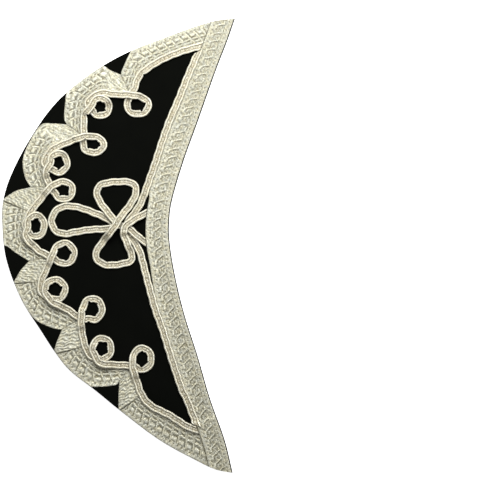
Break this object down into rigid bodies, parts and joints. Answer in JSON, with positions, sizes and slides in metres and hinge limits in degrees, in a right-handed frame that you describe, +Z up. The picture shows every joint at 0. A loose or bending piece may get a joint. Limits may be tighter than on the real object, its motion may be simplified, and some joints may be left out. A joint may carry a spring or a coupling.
{
  "type": "doublet shoulder shell",
  "caption": "Crescent-shaped cloth shoulder shell for a piper's doublet, edged with scalloped silver lace and looped braid, with a trefoil braid knot.",
  "frame": {"origin": "on the surface that the shell lies on, under the middle of the panel's bounding box", "axes": "+X towards the sewn edge, +Y towards the upper point, +Z up off the face of the cloth"},
  "size_m": [0.1482, 0.289, 0.0092],
  "materials": {
    "wool_cloth": "matt black wool cloth",
    "silver_lace": "flat woven lace of silver metal thread",
    "silver_braid": "two-ridged braid of silver metal thread"
  },
  "bodies": {
    "root": {"cloth_panel": "wool_cloth", "outer_lace": "silver_lace", "inner_lace": "silver_lace", "border_braid": "silver_braid", "edge_braid": "silver_braid", "knot_braid": "silver_braid"}
  },
  "joints": []
}
